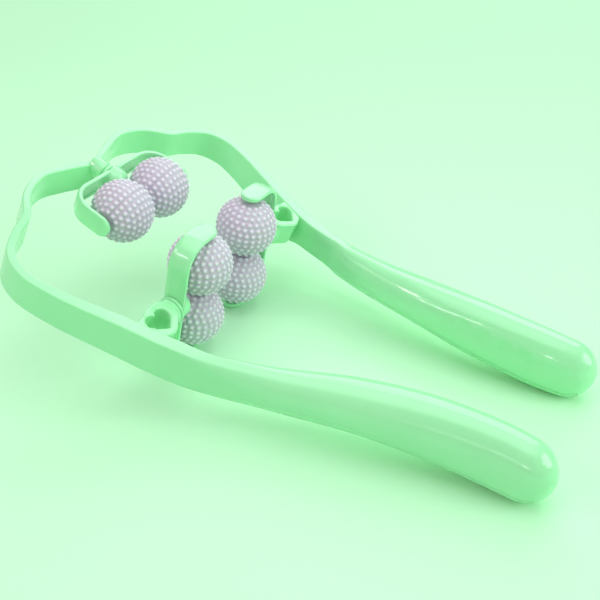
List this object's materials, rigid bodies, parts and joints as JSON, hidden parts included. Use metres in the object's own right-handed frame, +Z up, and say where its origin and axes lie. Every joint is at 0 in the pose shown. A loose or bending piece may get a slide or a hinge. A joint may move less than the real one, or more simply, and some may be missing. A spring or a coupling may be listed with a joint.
{
  "type": "hand-held roller massager",
  "caption": "Springy U-shaped massager with two hollow handles and swivelling heads, each a yoke holding a pair of studded rolling balls.",
  "frame": {"origin": "centre of the bounding box, on the surface that the massager stands on", "axes": "+X from the hoop's apex towards the handle tips, +Y to the left-hand handle, +Z up from the table"},
  "size_m": [0.3462, 0.2222, 0.099],
  "materials": {
    "mint_plastic": "glossy moulded plastic, mint green",
    "lavender_plastic": "satin moulded plastic, pale lavender, studded",
    "steel": "plain turned steel"
  },
  "bodies": {
    "frame": {"hoop_band": "mint_plastic", "apex_boss": "mint_plastic", "left_handle_body": "mint_plastic", "left_handle_cover": "mint_plastic", "left_heart_block": "mint_plastic", "right_handle_body": "mint_plastic", "right_handle_cover": "mint_plastic", "right_heart_block": "mint_plastic", "apex_swivel_washer": "mint_plastic", "left_swivel_washer": "mint_plastic", "right_swivel_washer": "mint_plastic"},
    "apex_head": {"apex_yoke": "mint_plastic", "apex_pivot_pin": "mint_plastic", "apex_axle": "steel"},
    "left_head": {"left_yoke": "mint_plastic", "left_pivot_pin": "mint_plastic", "left_axle": "steel"},
    "right_head": {"right_yoke": "mint_plastic", "right_pivot_pin": "mint_plastic", "right_axle": "steel"},
    "apex_roller_1": {"apex_ball_1": "lavender_plastic"},
    "apex_roller_2": {"apex_ball_2": "lavender_plastic"},
    "left_roller_1": {"left_ball_1": "lavender_plastic"},
    "left_roller_2": {"left_ball_2": "lavender_plastic"},
    "right_roller_1": {"right_ball_1": "lavender_plastic"},
    "right_roller_2": {"right_ball_2": "lavender_plastic"}
  },
  "joints": [
    {"name": "apex_swivel", "type": "hinge", "parent": "frame", "child": "apex_head", "pos_m": [-0.11916, 0, 0.07747], "axis": [0.9237, 0, -0.3832], "continuous": true},
    {"name": "left_swivel", "type": "hinge", "parent": "frame", "child": "left_head", "pos_m": [-0.06061, 0.0275, 0.04452], "axis": [0, 1, 0], "continuous": true},
    {"name": "right_swivel", "type": "hinge", "parent": "frame", "child": "right_head", "pos_m": [-0.06061, -0.0275, 0.04452], "axis": [0, 1, 0], "continuous": true},
    {"name": "apex_spin_1", "type": "hinge", "parent": "apex_head", "child": "apex_roller_1", "pos_m": [-0.11916, 0, 0.07747], "axis": [0, 1, 0], "continuous": true},
    {"name": "apex_spin_2", "type": "hinge", "parent": "apex_head", "child": "apex_roller_2", "pos_m": [-0.11916, 0, 0.07747], "axis": [0, 1, 0], "continuous": true},
    {"name": "left_spin_1", "type": "hinge", "parent": "left_head", "child": "left_roller_1", "pos_m": [-0.06061, 0.0275, 0.04452], "axis": [0.1483, 0, 0.9889], "continuous": true},
    {"name": "left_spin_2", "type": "hinge", "parent": "left_head", "child": "left_roller_2", "pos_m": [-0.06061, 0.0275, 0.04452], "axis": [0.1483, 0, 0.9889], "continuous": true},
    {"name": "right_spin_1", "type": "hinge", "parent": "right_head", "child": "right_roller_1", "pos_m": [-0.06061, -0.0275, 0.04452], "axis": [0.1483, 0, 0.9889], "continuous": true},
    {"name": "right_spin_2", "type": "hinge", "parent": "right_head", "child": "right_roller_2", "pos_m": [-0.06061, -0.0275, 0.04452], "axis": [0.1483, 0, 0.9889], "continuous": true}
  ]
}
